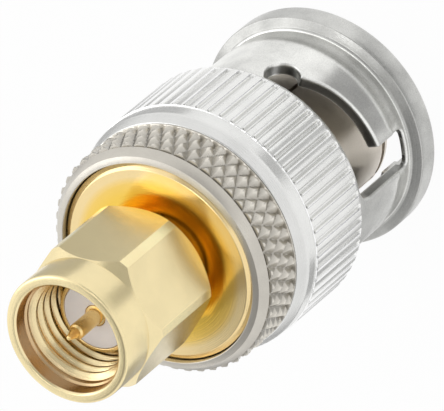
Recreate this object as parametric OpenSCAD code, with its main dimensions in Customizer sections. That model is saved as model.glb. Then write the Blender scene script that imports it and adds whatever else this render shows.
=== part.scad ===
// Coaxial adapter: bayonet (BNC) plug on one end, SMA plug on the other.
// It stands on the bayonet sleeve's rim at z = 0, and the SMA end points up.

/* [Coupling sleeve] */
// Radius of the rim at the mouth
rim_r = 7.2; // [7.1:0.05:7.5]
// Length of the rim
rim_len = 1.5; // [1.2:0.1:2]
// Radius of the waist just behind the rim
waist_r = 6.5; // [6.4:0.05:6.55]
// Length of the waist
waist_len = 1.4; // [1.2:0.1:1.6]
// Radius of the neck that carries the bayonet slots
neck_r = 6.6; // [6.6:0.05:6.9]
// Length of the neck
neck_len = 5.53; // [5.4:0.05:6.2]
// Radius at the foot of the grip's shoulder
shoulder_r = 7.25; // [7.1:0.05:7.4]
// Length of the grip's shoulder
shoulder_len = 0.57; // [0.4:0.01:0.8]
// Radius of the grip over its flutes
grip_r = 7.58; // [7.5:0.02:7.9]
// Length of the fluted grip
grip_len = 4.86; // [4:0.02:6]
// Number of flutes round the grip
flutes = 60; // [48:4:72]
// Depth of a flute
flute_depth = 0.28; // [0.15:0.01:0.4]
// Radius of the plain band behind the grip
band_r = 7.5; // [7.4:0.02:7.58]
// Length of the plain band
band_len = 0.8; // [0.5:0.05:1.5]
// Radius of the sleeve's rear edge
tail_r = 7.15; // [7:0.05:7.35]
// Length of the rounded end behind the plain band
tail_len = 0.72; // [0.5:0.02:1]
// Bore of the sleeve, for the mating barrel
sleeve_bore_r = 4.9; // [4.85:0.01:5]
// Radius of the short lead-in at the mouth
mouth_r = 5.1; // [5.05:0.01:5.2]
// Depth of the lead-in
mouth_depth = 0.6; // [0.5:0.05:0.7]
// Inside radius behind the slotted wall
relief_r = 5.85; // [5.75:0.01:5.95]
// Length of the inner lip that bears on the thrust washer
lip_len = 3.1; // [2.5:0.1:3.4]

/* [Bayonet slots] */
// Radius of the entry grooves for the mating studs
stud_groove_r = 6.15; // [6:0.01:6.2]
// Width of the entry channel and its groove
channel_w = 2.38; // [2.1:0.02:2.5]
// Angle of the entry channel
channel_a = -38.2; // [-45:0.1:-35]
// Distance from the channel's front end to its rear end
channel_len = 5.34; // [5.2:0.02:5.5]
// Height of the ramp's start above the channel's front end
ramp_rise = 2.62; // [2.4:0.02:2.8]
// Climb of the ramp up to its hump
ramp_climb = 1.31; // [1.1:0.01:1.5]
// Share of the climb that comes late, just before the hump
ramp_curl = 0.52; // [0:0.01:0.8]
// Angle of the hump
hump_a = 25; // [22:0.5:26]
// Angle of the detent
detent_a = 33.5; // [32:0.5:36]
// Radius of the detent
detent_r = 1.05; // [1:0.01:1.15]
// Height of the detent's centre above the channel's front end
detent_rise = 4.4; // [4.2:0.02:4.6]
// Lean of the slot's closed end
end_lean = 31; // [0:1:35]
// Length of the slot's closed end between its two round centres
end_len = 0.7; // [0.5:0.05:0.8]

/* [Spring stack] */
// Thickness of the flat and thrust washers
washer_t = 0.3; // [0.2:0.02:0.4]
// Free height of the wave washer
wave_h = 1.5; // [1.3:0.05:1.7]
// Thickness of the wave washer's strip
wave_t = 0.2; // [0.15:0.01:0.3]
// Number of waves round the washer
waves = 3; // [2:1:5]
// Forward travel of the sleeve against the wave washer
sleeve_travel = 0.8; // [0.6:0.05:1]

/* [Bayonet plug body] */
// Outside radius of the slotted outer contact
contact_r = 4.2; // [4:0.02:4.3]
// Wall of the outer contact
contact_wall = 0.75; // [0.6:0.01:0.85]
// Length of the outer contact ahead of the body's flange
contact_len = 8.4; // [7.8:0.02:8.5]
// Length of the contact's spigot inside the body
spigot_len = 2; // [1.5:0.1:3]
// Wall of the contact's spigot
spigot_wall = 0.38; // [0.3:0.01:0.4]
// Number of slits that part the contact into fingers
slits = 3; // [2:1:6]
// Width of a slit
slit_w = 0.25; // [0.15:0.01:0.35]
// Length of a slit
slit_len = 6.6; // [5:0.1:7]
// Angle of the first slit
slit_a = 38.6; // [0:0.1:90]
// Wall of the body's hub round the spigot
hub_wall = 0.35; // [0.3:0.01:0.4]
// Thickness of the body's thrust flange
flange_t = 1; // [0.8:0.05:1.2]
// Thickness of the face gasket
gasket_t = 0.8; // [0.5:0.05:1]
// Distance from the outer contact's front to the insulator's front
insulator_setback = 1; // [0.6:0.05:1.5]
// Bore of the front insulator, for the mating insulator
insulator_bore_r = 2.45; // [2.38:0.01:2.6]
// Radius of the bayonet plug's centre pin
bnc_pin_r = 0.675; // [0.66:0.005:0.69]
// Distance from the outer contact's front to the pin's tip
bnc_pin_setback = 2.15; // [1.9:0.05:2.5]
// Length of the pin's pointed tip
bnc_tip_len = 0.9; // [0.6:0.05:1.2]
// Radius of the pin's flat end
bnc_tip_r = 0.25; // [0.1:0.01:0.35]
// Radius of the centre contact's body
bnc_core_r = 0.95; // [0.85:0.01:1.1]

/* [Knurled collar] */
// Radius of the collar over the knurl
knurl_r = 7.18; // [7.1:0.02:7.4]
// Depth of the knurl
knurl_depth = 0.38; // [0.25:0.01:0.45]
// Diamonds round the collar
knurl_count = 50; // [40:2:60]
// Rows of diamonds along the collar
knurl_rows = 3; // [2:1:4]
// Distance between two rows
knurl_pitch = 0.8; // [0.7:0.01:0.9]
// Largest radius of the conical lip
cone_r = 7; // [6.9:0.05:7.2]
// Radius of the collar's flat end face
face_r = 6.6; // [6.5:0.05:6.8]
// Length of the conical lip
cone_len = 0.68; // [0.5:0.02:0.9]
// Width of the groove between knurl and lip
collar_groove = 0.13; // [0.1:0.01:0.3]
// Depth of the recess that holds the SMA flange
recess_depth = 1.5; // [1.4:0.05:1.8]

/* [SMA body] */
// Radius of the gold flange
disc_r = 6.05; // [5.8:0.01:6.1]
// Thickness of the gold flange
disc_t = 1.37; // [1.2:0.01:1.4]
// Bevel on the flange's edge
disc_bevel = 0.35; // [0.1:0.01:0.5]
// Length of the spigot that centres the flange in the hub
tenon_len = 2.5; // [2:0.1:3]
// Radius of the stem that carries the nut
stem_r = 2.7; // [2.6:0.01:2.75]
// Length of the stem
stem_len = 3.84; // [3.6:0.02:4.2]
// Radius of the ferrule, the SMA outer contact
ferrule_r = 2.295; // [2.28:0.005:2.3]
// Length of the ferrule
ferrule_len = 2.8; // [2.6:0.02:3]
// Bore of the ferrule
ferrule_bore_r = 2.05; // [2:0.01:2.07]
// Depth of the retaining ring's groove in the stem
ring_groove_depth = 0.35; // [0.3:0.01:0.38]
// Thickness of the SMA gasket
sma_gasket_t = 0.6; // [0.4:0.05:0.8]

/* [SMA contact] */
// Radius of the SMA centre pin
pin_r = 0.45; // [0.43:0.005:0.47]
// Length of the straight part of the pin
pin_len = 2.1; // [1.9:0.02:2.15]
// Length of the pin's cone
pin_tip_len = 0.7; // [0.4:0.02:0.72]
// Radius of the pin's flat end
pin_tip_r = 0.12; // [0.08:0.01:0.2]
// Radius of the centre conductor inside the insulator
conductor_r = 0.635; // [0.62:0.005:0.66]
// Radius of the captive shoulder on the conductor
captive_r = 1.2; // [1.05:0.01:1.5]
// Thickness of the captive shoulder
captive_t = 0.5; // [0.3:0.05:0.8]
// Radius of the tail that plugs into the other contact
tail_pin_r = 0.48; // [0.4:0.01:0.55]
// Length of that tail
tail_pin_len = 2.4; // [1.5:0.1:3]

/* [SMA nut] */
// Width of the hexagon across its flats
nut_af = 7.95; // [7.9:0.01:8.1]
// Diameter that the hexagon's corners are turned to
nut_corner_d = 8.88; // [8.6:0.02:9]
// Length of the nut
nut_len = 8.55; // [8.5:0.05:8.8]
// Distance from the gold flange to the nut
nut_gap = 1.09; // [1:0.01:1.2]
// Chamfer at the rear corners of the hexagon
nut_rear_bevel = 0.5; // [0.2:0.05:0.6]
// Length of the round nose ahead of the hexagon
nose_len = 2.3; // [2:0.05:2.6]
// Radius of the round nose
nose_r = 3.95; // [3.9:0.01:3.96]
// Rounding at the nose's front edge
nose_round = 0.2; // [0.1:0.01:0.3]
// Radius of the counterbore at the nut's mouth
counterbore_r = 3.22; // [3.2:0.01:3.3]
// Depth of the counterbore
counterbore_len = 0.7; // [0.6:0.05:0.9]
// Bevel at the mouth's edge
mouth_bevel = 0.15; // [0.08:0.01:0.2]
// Bore of the nut at its thread crests
thread_r = 2.82; // [2.8:0.01:2.86]
// Radius of the thread's relief behind it
thread_relief_r = 3.25; // [3.22:0.01:3.3]
// Length of the relief
thread_relief_len = 1.3; // [1.1:0.05:1.5]
// Distance from the nut's rear to the middle of its ring groove
ring_z = 1.3; // [1.2:0.05:1.5]
// Thickness of the retaining ring
ring_t = 0.5; // [0.4:0.02:0.55]
// Outside radius of the retaining ring
ring_r = 3.12; // [3.05:0.01:3.15]
// Gap in the retaining ring
ring_slot = 1.2; // [0.8:0.1:2]
// Axial float of the nut on its ring
nut_float = 0.2; // [0.1:0.02:0.25]

/* [Fits] */
// Clearance of pieces that are pressed or glued together
press_gap = 0.02; // [0.01:0.005:0.03]
// Running clearance of pieces that turn or slide on each other
run_gap = 0.08; // [0.06:0.01:0.1]
// Side clearance of washers and rings in their grooves
side_gap = 0.03; // [0.02:0.005:0.04]
// Gap between the sleeve's end and the knurled collar at rest
stop_gap = 0.06; // [0.05:0.01:0.1]
// Gap round the gold flange in the collar's recess
recess_gap = 0.1; // [0.05:0.01:0.15]

/* [Hidden] */
$fn = 96;

// How far a cutter runs past the face it opens.
over = 1;
// Chamfers on turned edges.
edge = 0.1;
rim_round = 0.25;
rim_bevel = 0.35;
waist_fillet = 0.13;
relief_bevel = 0.4;

// Heights along the sleeve.
z_slot = rim_len + 0.55;
z_waist = rim_len + waist_fillet + rim_bevel * 0.6;
z_neck = rim_len + waist_len;
z_grip = z_neck + neck_len;
z_flutes = z_grip + shoulder_len;
z_band = z_flutes + grip_len;
z_tail = z_band + band_len;
sleeve_len = z_tail + tail_len;
z_lip = sleeve_len - lip_len;

// Heights along the spring stack, from the sleeve's lip forward.
z_thrust = z_lip - side_gap - washer_t;
z_wave = z_thrust - side_gap - wave_h;
z_flat = z_wave - side_gap - washer_t;
z_flange = z_flat - side_gap - flange_t;
z_relief_end = z_flange - sleeve_travel + relief_bevel;

// Heights along the fixed body.
z_contact = z_flange - contact_len;
z_insulator = z_contact + insulator_setback;
z_collar = sleeve_len + stop_gap;
knurl_len = knurl_rows * knurl_pitch;
z_knurl = z_collar + 0.3 * edge;
z_cone = z_knurl + knurl_len + collar_groove;
collar_len = z_cone + cone_len - z_collar;
z_seat = z_collar + collar_len - recess_depth;
z_disc = z_seat + disc_t;
z_tenon = z_seat - tenon_len;
z_stem = z_disc + stem_len;
z_face = z_stem + ferrule_len;

// Heights along the nut.
z_nut = z_disc + nut_gap;
z_ring = z_nut + ring_z - ring_t / 2;
z_front = z_nut + nut_len;
z_nose = z_front - nose_len;
z_relief = z_stem - nut_float - side_gap;

// Radii that follow from the pieces they hold.
contact_in_r = contact_r - contact_wall;
spigot_r = contact_in_r + spigot_wall;
hub_r = spigot_r + press_gap + hub_wall;
flange_r = sleeve_bore_r - run_gap;
washer_in_r = hub_r + run_gap;
washer_out_r = sleeve_bore_r - run_gap;
recess_r = disc_r + recess_gap;
ring_in_r = stem_r - ring_groove_depth + run_gap;
sma_gasket_r = thread_relief_r - 3 * run_gap;

function arc(c, r, a0, a1, n) =
    [for (i = [0:n]) let (a = a0 + (a1 - a0) * i / n) [c[0] + r * cos(a), c[1] + r * sin(a)]];

module tube(r_in, r_out, z0, h) {
    translate([0, 0, z0])
        difference() {
            cylinder(r = r_out, h = h);
            translate([0, 0, -over])
                cylinder(r = r_in, h = h + 2 * over);
        }
}

// Cuts a flat outline, drawn as width and height, radially through the neck's wall.
module radial_cut(a) {
    rotate([0, 0, a])
        translate([relief_r - over, 0, 0])
            rotate([90, 0, 90])
                linear_extrude(neck_r - relief_r + 2 * over)
                    children();
}

// --- coupling sleeve ---

module sleeve_section() {
    front = arc([rim_r - rim_round, rim_round], rim_round, -90, 0, 4);
    rear = arc([tail_r, z_tail], 1, 90, 0, 6);
    outer = [[rim_r, rim_len], [rim_r - rim_bevel, rim_len + rim_bevel * 0.6], [waist_r, z_waist],
        [waist_r, z_neck], [neck_r, z_neck + waist_fillet], [neck_r, z_grip], [shoulder_r, z_grip],
        [grip_r, z_flutes], [grip_r, z_band], [band_r, z_band]];
    tail = [for (p = rear) [tail_r + (band_r - tail_r) * (p[1] - z_tail), z_tail + tail_len * (p[0] - tail_r)]];
    inner = [[washer_in_r, sleeve_len], [washer_in_r, z_lip], [sleeve_bore_r, z_lip],
        [sleeve_bore_r, z_relief_end], [relief_r, z_relief_end - relief_bevel], [relief_r, z_slot],
        [sleeve_bore_r, z_slot], [sleeve_bore_r, mouth_depth], [mouth_r, mouth_depth], [mouth_r, 0]];
    polygon(concat(front, outer, tail, inner));
}

module flute_cutter() {
    step = 360 / flutes;
    crest = 0.13;
    valley = 0.42;
    root_r = grip_r - flute_depth;
    star = [for (i = [0:flutes - 1]) each [
        for (k = [[-crest, grip_r + edge / 10], [crest, grip_r + edge / 10], [valley, root_r], [1 - valley, root_r]])
            k[1] * [cos(step * (i + k[0])), sin(step * (i + k[0]))]]];
    translate([0, 0, z_flutes])
        linear_extrude(grip_len - edge / 2)
            difference() {
                circle(r = grip_r + over);
                polygon(star);
            }
}

// Front edge of the cam at arc length s, and its rear edge.
channel_s = neck_r * channel_a * PI / 180;
ramp_s = channel_s + channel_w / 2;
hump_s = neck_r * hump_a * PI / 180;
detent_s = neck_r * detent_a * PI / 180;
end_s = detent_s - end_len * sin(end_lean);
end_z = z_slot + detent_rise + end_len * cos(end_lean) + detent_r;
function ramp(t) = ramp_climb * ((1 - ramp_curl) * t + ramp_curl * pow(t, 4));
function cam_front(s) = s > hump_s ? z_slot + detent_rise
    : z_slot + ramp_rise + ramp(max(0, (s - ramp_s) / (hump_s - ramp_s)));
function cam_rear(s) = z_slot + channel_len - edge
    + (end_z - z_slot - channel_len + edge / 2) * (s - channel_s) / (end_s - channel_s);

module cam_cutter() {
    r0 = relief_r - over;
    r1 = neck_r + over;
    ramp_steps = 24;
    stations = concat([channel_s],
        [for (i = [0:ramp_steps]) ramp_s + (hump_s - ramp_s) * i / ramp_steps],
        [hump_s + edge / 2, end_s]);
    n = len(stations);
    points = [for (s = stations) let (a = s / neck_r * 180 / PI)
        each [for (k = [[r0, cam_front(s)], [r1, cam_front(s)], [r1, cam_rear(s)], [r0, cam_rear(s)]])
            [k[0] * cos(a), k[0] * sin(a), k[1]]]];
    sides = [for (i = [0:n - 2], k = [0:3]) let (p = 4 * i + k, q = 4 * i + (k + 1) % 4)
        each [[p, q, q + 4], [p, q + 4, p + 4]]];
    polyhedron(points, concat([[3, 2, 1, 0]], sides, [[4 * n - 4, 4 * n - 3, 4 * n - 2, 4 * n - 1]]));
}

module channel_outline() {
    round_r = channel_w / 2;
    corner = 0.3;
    translate([0, z_slot + channel_len - round_r])
        circle(r = round_r);
    translate([-round_r, z_slot + corner])
        square([channel_w, channel_len - round_r - corner]);
    translate([corner - round_r, z_slot])
        square([channel_w - 2 * corner, 2 * corner]);
    for (x = [-1, 1])
        translate([x * (round_r - corner), z_slot + corner])
            circle(r = corner);
}

module end_outline() {
    translate([0, z_slot + detent_rise])
        rotate(end_lean) {
            circle(r = detent_r);
            translate([-detent_r, 0])
                square([2 * detent_r, end_len]);
            translate([0, end_len])
                circle(r = detent_r);
        }
}

module coupling_sleeve() {
    color("gainsboro")
        difference() {
            rotate_extrude()
                sleeve_section();
            flute_cutter();
            for (side = [0, 180]) {
                rotate([0, 0, side])
                    cam_cutter();
                radial_cut(channel_a + side)
                    channel_outline();
                radial_cut(detent_a + side)
                    end_outline();
            }
            intersection() {
                translate([0, 0, -over])
                    cylinder(r = stud_groove_r, h = z_slot + 2 * over);
                rotate([0, 0, channel_a])
                    cube([3 * stud_groove_r, channel_w, 2 * z_slot + 2 * over], center = true);
            }
        }
}

// --- spring stack ---

module thrust_washer() {
    color("silver")
        tube(washer_in_r, washer_out_r, z_thrust, washer_t);
}

module flat_washer() {
    color("silver")
        tube(washer_in_r, washer_out_r, z_flat, washer_t);
}

module wave_washer() {
    steps = 24 * waves;
    lift = wave_h - wave_t;
    points = [for (i = [0:steps - 1])
        let (a = 360 * i / steps, z = z_wave + lift * (1 - cos(waves * a)) / 2)
            each [for (k = [[washer_in_r, 0], [washer_out_r, 0], [washer_out_r, wave_t], [washer_in_r, wave_t]])
                [k[0] * cos(a), k[0] * sin(a), z + k[1]]]];
    faces = [for (i = [0:steps - 1], k = [0:3])
        let (j = (i + 1) % steps, l = (k + 1) % 4)
            each [[4 * i + k, 4 * i + l, 4 * j + l], [4 * i + k, 4 * j + l, 4 * j + k]]];
    color("darkgray")
        polyhedron(points, faces);
}

// --- bayonet plug body ---

module bnc_body() {
    color("lightgray")
        difference() {
            union() {
                translate([0, 0, z_flange])
                    cylinder(r = flange_r, h = flange_t);
                translate([0, 0, z_flange])
                    cylinder(r = hub_r, h = z_seat - z_flange);
            }
            translate([0, 0, z_flange - over])
                cylinder(r = spigot_r + press_gap, h = spigot_len + press_gap + over);
            translate([0, 0, z_flange])
                cylinder(r = contact_in_r, h = z_seat - z_flange + over);
        }
}

module bnc_outer_contact() {
    tip = 0.25;
    color("darkkhaki")
        difference() {
            rotate_extrude()
                polygon([[contact_in_r + tip, z_contact], [contact_r - tip, z_contact],
                    [contact_r, z_contact + 2 * tip], [contact_r, z_flange], [spigot_r, z_flange],
                    [spigot_r, z_flange + spigot_len], [contact_in_r, z_flange + spigot_len],
                    [contact_in_r, z_contact + tip]]);
            for (i = [0:slits - 1])
                rotate([0, 0, slit_a + 360 * i / slits])
                    translate([0, -slit_w / 2, z_contact - over])
                        cube([2 * contact_r, slit_w, slit_len + over]);
        }
}

module bnc_gasket() {
    color("firebrick")
        tube(contact_r + press_gap, flange_r - run_gap, z_flange - gasket_t, gasket_t);
}

module bnc_insulator() {
    body_r = contact_in_r - press_gap;
    z_end = z_tenon - press_gap;
    color("white")
        difference() {
            translate([0, 0, z_insulator])
                cylinder(r = body_r, h = z_end - z_insulator);
            translate([0, 0, z_insulator - over])
                cylinder(r = insulator_bore_r, h = z_flange - z_insulator + over);
            cylinder(r = bnc_core_r + press_gap, h = z_end + over);
        }
}

module bnc_center_contact() {
    z_tip = z_contact + bnc_pin_setback;
    z_end = z_tenon - press_gap;
    color("gold")
        difference() {
            rotate_extrude()
                polygon([[0, z_tip], [bnc_tip_r, z_tip], [bnc_pin_r, z_tip + bnc_tip_len],
                    [bnc_pin_r, z_flange], [bnc_core_r, z_flange], [bnc_core_r, z_end], [0, z_end]]);
            translate([0, 0, z_end - tail_pin_len - press_gap])
                cylinder(r = tail_pin_r + press_gap, h = tail_pin_len + over);
        }
}

// --- knurled collar ---

// A closed ring of diamond pyramids: peaks and crossings alternate on a grid
// of half pitches, and every cell is split along the groove between them.
module knurl_ring() {
    cells = 2 * knurl_count;
    root_r = knurl_r - knurl_depth;
    inner_r = root_r - 2 * edge;
    ring = [for (j = [0:knurl_rows], i = [0:cells - 1])
        let (a = 360 * i / cells, peak = (i + j) % 2 == 0, end = j == 0 || j == knurl_rows,
            r = root_r + (peak ? knurl_depth * (end ? 0.75 : 1) : 0))
            [r * cos(a), r * sin(a), z_knurl + knurl_pitch * j]];
    core = [for (j = [0, knurl_rows], i = [0:cells - 1])
        let (a = 360 * i / cells)
            [inner_r * cos(a), inner_r * sin(a), z_knurl + knurl_pitch * j]];
    low = cells * (knurl_rows + 1);
    high = low + cells;
    skin = [for (j = [0:knurl_rows - 1], i = [0:cells - 1])
        let (n = (i + 1) % cells, p = cells * j + i, q = cells * j + n, s = q + cells, t = p + cells)
            each (i + j) % 2 == 0 ? [[p, t, q], [q, t, s]] : [[p, t, s], [p, s, q]]];
    caps = [for (i = [0:cells - 1])
        let (n = (i + 1) % cells, top = cells * knurl_rows)
            each [[i, n, low + n], [i, low + n, low + i],
                [top + i, high + i, high + n], [top + i, high + n, top + n],
                [low + i, low + n, high + n], [low + i, high + n, high + i]]];
    polyhedron(concat(ring, core), concat(skin, caps));
}

module knurled_collar() {
    core_r = knurl_r - knurl_depth - edge / 2;
    z_end = z_collar + collar_len;
    bore_r = hub_r + press_gap;
    color("lightsteelblue")
        union() {
            rotate_extrude()
                polygon([[bore_r, z_collar], [core_r - edge, z_collar], [core_r, z_collar + edge],
                    [core_r, z_cone], [cone_r, z_cone], [face_r, z_end - edge / 2],
                    [face_r - edge / 2, z_end], [recess_r, z_end], [recess_r, z_seat], [bore_r, z_seat]]);
            knurl_ring();
        }
}

// --- SMA side ---

module sma_body() {
    groove_r = stem_r - ring_groove_depth;
    z0 = z_ring - side_gap;
    z1 = z_ring + ring_t + nut_float + side_gap;
    color("goldenrod")
        rotate_extrude()
            polygon([[ferrule_bore_r, z_tenon], [contact_in_r - press_gap, z_tenon],
                [contact_in_r - press_gap, z_seat], [disc_r, z_seat],
                [disc_r, z_disc - disc_bevel * 0.7], [disc_r - disc_bevel, z_disc], [stem_r, z_disc],
                [stem_r, z0], [groove_r, z0], [groove_r, z1], [stem_r, z1],
                [stem_r, z_stem - edge], [stem_r - edge, z_stem], [ferrule_r, z_stem],
                [ferrule_r, z_face - edge], [ferrule_r - edge, z_face], [ferrule_bore_r, z_face]]);
}

module sma_insulator() {
    pocket_r = captive_r + press_gap;
    pocket_t = captive_t + press_gap;
    color("white")
        difference() {
            translate([0, 0, z_tenon])
                cylinder(r = ferrule_bore_r - press_gap, h = z_face - z_tenon);
            translate([0, 0, z_tenon - over])
                cylinder(r = conductor_r + press_gap, h = z_face - z_tenon + 2 * over);
            translate([0, 0, z_tenon - over])
                cylinder(r = pocket_r, h = pocket_t + over);
        }
}

module sma_center_contact() {
    z_cone_end = z_face + pin_len + pin_tip_len;
    color("gold")
        rotate_extrude()
            polygon([[0, z_tenon - tail_pin_len], [tail_pin_r, z_tenon - tail_pin_len],
                [tail_pin_r, z_tenon], [captive_r, z_tenon], [captive_r, z_tenon + captive_t],
                [conductor_r, z_tenon + captive_t], [conductor_r, z_face], [pin_r, z_face],
                [pin_r, z_face + pin_len], [pin_tip_r, z_cone_end], [0, z_cone_end]]);
}

module sma_gasket() {
    color("firebrick")
        tube(ferrule_r + press_gap, sma_gasket_r, z_stem + press_gap, sma_gasket_t);
}

module sma_retaining_ring() {
    color("dimgray")
        difference() {
            tube(ring_in_r, ring_r, z_ring, ring_t);
            translate([0, -ring_slot / 2, z_ring - over])
                cube([2 * ring_r, ring_slot, ring_t + 2 * over]);
        }
}

module nut_outline() {
    corner_r = nut_corner_d / 2;
    bevel = corner_r - nose_r;
    front = arc([nose_r - nose_round, z_front - nose_round], nose_round, 0, 90, 4);
    polygon(concat([[0, z_nut], [corner_r - nut_rear_bevel, z_nut], [corner_r, z_nut + nut_rear_bevel],
        [corner_r, z_nose - bevel], [nose_r, z_nose]], front, [[0, z_front]]));
}

module nut_bore() {
    bore_r = stem_r + run_gap;
    groove_r = ring_r + run_gap;
    lead = counterbore_r - thread_r;
    z_thread = z_relief + thread_relief_len;
    z_counterbore = z_front - counterbore_len;
    polygon([[0, z_nut - over], [bore_r, z_nut - over], [bore_r, z_ring - side_gap],
        [groove_r, z_ring - side_gap], [groove_r, z_ring + ring_t + side_gap],
        [bore_r, z_ring + ring_t + side_gap], [bore_r, z_relief], [thread_relief_r, z_relief],
        [thread_relief_r, z_thread], [thread_r, z_thread + thread_relief_r - thread_r],
        [thread_r, z_counterbore - lead], [counterbore_r, z_counterbore],
        [counterbore_r, z_front - mouth_bevel], [counterbore_r + mouth_bevel, z_front],
        [counterbore_r + mouth_bevel, z_front + over], [0, z_front + over]]);
}

module sma_coupling_nut() {
    hex_a = 15;
    color("khaki")
        difference() {
            intersection() {
                rotate_extrude()
                    nut_outline();
                translate([0, 0, z_nut - over])
                    rotate([0, 0, hex_a])
                        cylinder(r = nut_af / 2 / cos(30), h = nut_len + 2 * over, $fn = 6);
            }
            rotate_extrude()
                nut_bore();
        }
}

coupling_sleeve();
thrust_washer();
wave_washer();
flat_washer();
bnc_body();
bnc_outer_contact();
bnc_gasket();
bnc_insulator();
bnc_center_contact();
knurled_collar();
sma_body();
sma_insulator();
sma_center_contact();
sma_gasket();
sma_retaining_ring();
sma_coupling_nut();
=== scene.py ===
"""Looks of a coaxial adapter, bayonet plug to SMA plug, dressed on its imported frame.

Sizes are in millimetres and angles in degrees; meshes are made in metres.
The bayonet end stands on the floor and the SMA end points up, along +Z.
"""
import math

import bmesh
import bpy
from mathutils import Matrix, Vector
from mathutils.geometry import delaunay_2d_cdt


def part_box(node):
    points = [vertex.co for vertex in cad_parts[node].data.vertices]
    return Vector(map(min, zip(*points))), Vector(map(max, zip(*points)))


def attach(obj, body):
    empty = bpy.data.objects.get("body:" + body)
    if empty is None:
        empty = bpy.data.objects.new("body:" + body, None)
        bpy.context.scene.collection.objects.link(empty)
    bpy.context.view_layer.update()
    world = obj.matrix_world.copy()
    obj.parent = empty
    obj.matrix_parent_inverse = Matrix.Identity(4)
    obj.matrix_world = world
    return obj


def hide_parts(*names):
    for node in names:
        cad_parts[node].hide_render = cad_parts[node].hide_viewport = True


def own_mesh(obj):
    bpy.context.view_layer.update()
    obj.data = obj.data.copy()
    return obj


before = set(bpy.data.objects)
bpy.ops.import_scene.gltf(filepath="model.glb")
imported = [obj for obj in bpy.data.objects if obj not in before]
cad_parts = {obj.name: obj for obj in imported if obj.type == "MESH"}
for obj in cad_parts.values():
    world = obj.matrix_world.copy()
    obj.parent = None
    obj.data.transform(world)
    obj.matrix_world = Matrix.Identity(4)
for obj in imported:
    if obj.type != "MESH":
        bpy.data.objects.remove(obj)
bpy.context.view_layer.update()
MM = 0.001


# --- Camera -------------------------------------------------------------------
# A long lens looks down on the SMA end from half a metre away. It is rolled,
# so that the adapter lies across the picture with its bayonet end at the top right.
CAMERA_AIM = (2.47, 0.14, 14.15)
CAMERA_DISTANCE = 504
CAMERA_ELEVATION = 47.29
CAMERA_ROLL = 130.16
CAMERA_LENS = 729.7

elevation, roll = math.radians(CAMERA_ELEVATION), math.radians(CAMERA_ROLL)
backward = Vector((math.cos(elevation), 0, math.sin(elevation)))
level_up = Vector((-math.sin(elevation), 0, math.cos(elevation)))
picture_up = level_up * math.cos(roll) + Vector((0, 1, 0)) * math.sin(roll)
camera_data = bpy.data.cameras.new("camera")
camera_data.lens, camera_data.sensor_width = CAMERA_LENS, 36
camera_data.clip_start, camera_data.clip_end = 0.01, 20
camera = bpy.data.objects.new("camera", camera_data)
camera.matrix_world = Matrix((picture_up.cross(backward), picture_up, backward)).transposed().to_4x4()
camera.location = (Vector(CAMERA_AIM) + backward * CAMERA_DISTANCE) * MM
bpy.context.scene.collection.objects.link(camera)
bpy.context.scene.camera = camera


# --- Studio -------------------------------------------------------------------
# A white table and a white tent, with soft lamps at a plain level. Grey cards lie
# on the table and stand behind the lens, out of the camera's sight: the bright
# metal mirrors them and gets its darker tones from them.
FLOOR_SIZE = 3000
FLOOR_WHITE, FLOOR_GLOW = 0.8, 0.96
TENT_LIGHT = 0.72
# Name, direction from the adapter, distance, size, and a lamp's strength or a card's grey.
LAMPS = [("key_softbox", (-0.6, 0.85, 0.8), 330, 260, 1.1),
         ("top_softbox", (0.1, 0.2, 1.0), 400, 150, 2.0)]
STANDING_CARDS = [("card_overhead", (-0.35, -0.32, 0.88), 260, 230, 0.35),
                  ("card_behind_lens", (0.66, 0.27, 0.7), 300, 280, 0.5)]
# Name, azimuth, half of its spread, inner and outer radius, and grey.
LYING_CARDS = [("card_near", -4, 27, 8.7, 14.5, 0.3),
               ("card_near_side", -100, 66, 8.7, 14.5, 0.5),
               ("card_ahead", 0, 12, 15, 42, 0.55),
               ("card_right", -92, 16, 15, 25, 0.45),
               ("card_far_right", -140, 36, 25, 45, 0.45),
               ("card_left", 108, 33, 15.5, 45, 0.54)]
# Each lying card is this much above the one before.
CARD_LIFT = 0.05


class Wire:
    """A socket in a material's tree, so that maths on it is written as an expression."""

    def __init__(self, tree, socket):
        self.tree, self.socket = tree, socket

    def node(self, kind, settings, values, out=0):
        """Any node, with its settings, its inputs set or linked, and one output taken."""
        made = self.tree.nodes.new(kind)
        for key, value in settings.items():
            setattr(made, key, value)
        for key, value in values.items():
            if isinstance(value, Wire):
                self.tree.links.new(value.socket, made.inputs[key])
            else:
                made.inputs[key].default_value = value
        return Wire(self.tree, made.outputs[out]) if made.outputs else None

    def maths(self, operation, a, b):
        return self.node("ShaderNodeMath", {"operation": operation}, {0: a, 1: b})

    def __add__(self, other):
        return self.maths("ADD", self, other)

    def __sub__(self, other):
        return self.maths("SUBTRACT", self, other)

    def __rsub__(self, other):
        return self.maths("SUBTRACT", other, self)

    def __mul__(self, other):
        return self.maths("MULTIPLY", self, other)

    def __pow__(self, other):
        return self.maths("POWER", self, other)

    __radd__, __rmul__ = __add__, __mul__


def new_tree(owner):
    """An emptied tree of a material or a world, as a wire to start from."""
    owner.use_nodes = True
    owner.node_tree.nodes.clear()
    return Wire(owner.node_tree, None)


def seen_directly(wire):
    """1 for what the camera sees, also in a mirror or through glass, and 0 for what only gives light."""
    camera_ray, glossy, through = (wire.node("ShaderNodeLightPath", {}, {}, ray) for ray in
                                   ("Is Camera Ray", "Is Glossy Ray", "Is Transmission Ray"))
    return wire.maths("MINIMUM", camera_ray + glossy + through, 1.0)


def sheet(name, corners, matrix, material):
    """A flat sheet of the studio, from its corners in millimetres."""
    mesh = bpy.data.meshes.new(name)
    mesh.from_pydata([(x * MM, y * MM, 0) for x, y in corners], [], [tuple(range(len(corners)))])
    mesh.materials.append(material)
    made = bpy.data.objects.new(name, mesh)
    made.matrix_world = matrix
    bpy.context.scene.collection.objects.link(made)
    return made


def square(size):
    return [(x * size / 2, y * size / 2) for x, y in ((-1, -1), (1, -1), (1, 1), (-1, 1))]


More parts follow.
